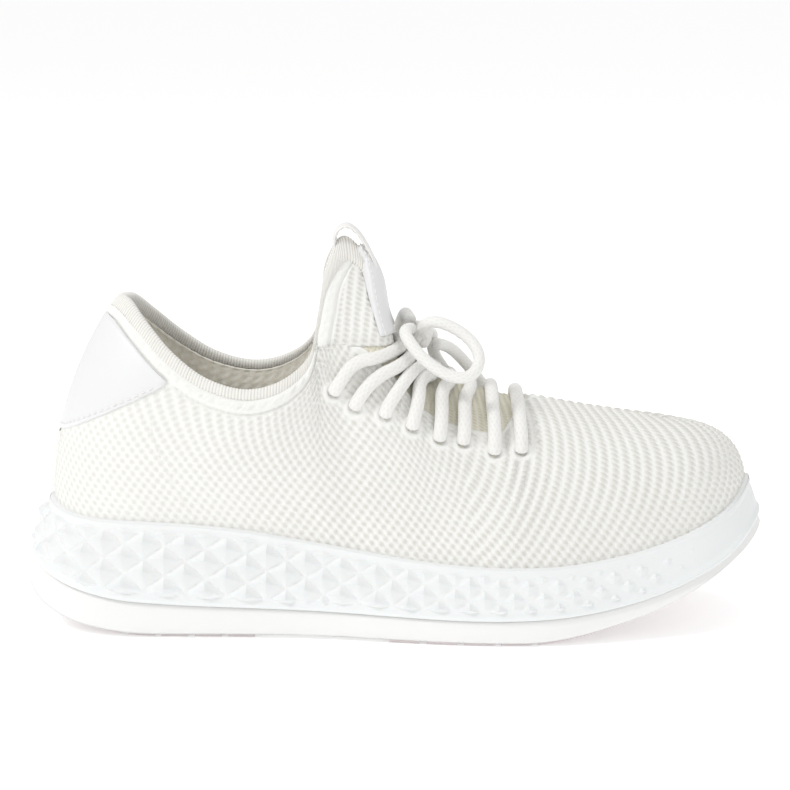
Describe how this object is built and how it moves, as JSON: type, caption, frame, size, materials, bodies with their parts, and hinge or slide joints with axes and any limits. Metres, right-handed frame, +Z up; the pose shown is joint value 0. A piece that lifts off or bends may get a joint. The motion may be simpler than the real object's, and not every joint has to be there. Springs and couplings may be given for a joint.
{
  "type": "running shoe",
  "caption": "Low knitted running shoe for the right foot: sock-like laced upper with a pull loop on a thick foam sole with a faceted diamond side wall",
  "frame": {"origin": "on the ground under the centre of the shoe's box", "axes": "+X to the toe, +Y to the inner side of the right foot, +Z up"},
  "size_m": [0.272, 0.103, 0.1461],
  "materials": {
    "sole_rubber": "smooth matt moulded foam rubber",
    "midsole_foam": "matt moulded foam with faceted diamonds",
    "tread_rubber": "matt grooved rubber",
    "board": "pressed fibre",
    "sockliner": "brushed knit over foam",
    "knit": "honeycomb knit, off-white",
    "rib_binding": "fine rib knit tape",
    "stiffener": "thermoformed sheet",
    "lining": "spacer mesh, warm white",
    "smooth_overlay": "smooth synthetic, satin",
    "seam_tape": "zigzag stitched tape",
    "throat_mesh": "open mesh, warm",
    "lace": "braided round cord",
    "aglet": "clear-coated tip"
  },
  "bodies": {
    "rearfoot": {"lower_band_rear": "sole_rubber", "midsole_rear": "midsole_foam", "strobel_board_rear": "board", "sockliner_rear": "sockliner", "tread_heel": "tread_rubber", "tread_ball": "tread_rubber", "quarter_knit": "knit", "vamp_flex_zone": "knit", "heel_counter": "stiffener", "collar_foam": "lining", "bootie_lining": "lining", "collar_binding": "rib_binding", "heel_patch": "smooth_overlay", "back_seam_tape": "seam_tape", "throat_mesh": "throat_mesh", "lace_row_1": "lace", "lace_row_2": "lace", "lace_row_3": "lace", "lace_row_4": "lace", "lace_row_5": "lace", "lace_row_6": "lace", "lace_row_7": "lace", "lace_row_8": "lace", "lace_knot": "lace", "bow_loop_near": "lace", "bow_loop_far": "lace", "lace_end_long": "lace", "lace_end_short": "lace", "aglet_long": "aglet", "aglet_short": "aglet"},
    "forefoot": {"lower_band_front": "sole_rubber", "midsole_front": "midsole_foam", "strobel_board_front": "board", "sockliner_front": "sockliner", "tread_toe": "tread_rubber", "vamp_knit": "knit", "toe_puff": "stiffener"},
    "tongue": {"tongue_knit": "knit", "tongue_patch": "smooth_overlay", "tongue_binding_outer": "rib_binding", "tongue_binding_inner": "rib_binding", "pull_loop": "smooth_overlay"}
  },
  "joints": [
    {"name": "forefoot_flex", "type": "hinge", "parent": "rearfoot", "child": "forefoot", "pos_m": [0.062, 0, 0.024], "axis": [0, -1, 0], "range_deg": [0, 25], "stiffness_Nm_per_rad": 1.1, "deforming": ["vamp_flex_zone"]},
    {"name": "tongue_lean", "type": "hinge", "parent": "rearfoot", "child": "tongue", "pos_m": [0.003, 0, 0.104], "axis": [0, 1, 0], "range_deg": [0, 15], "stiffness_Nm_per_rad": 0.08}
  ]
}
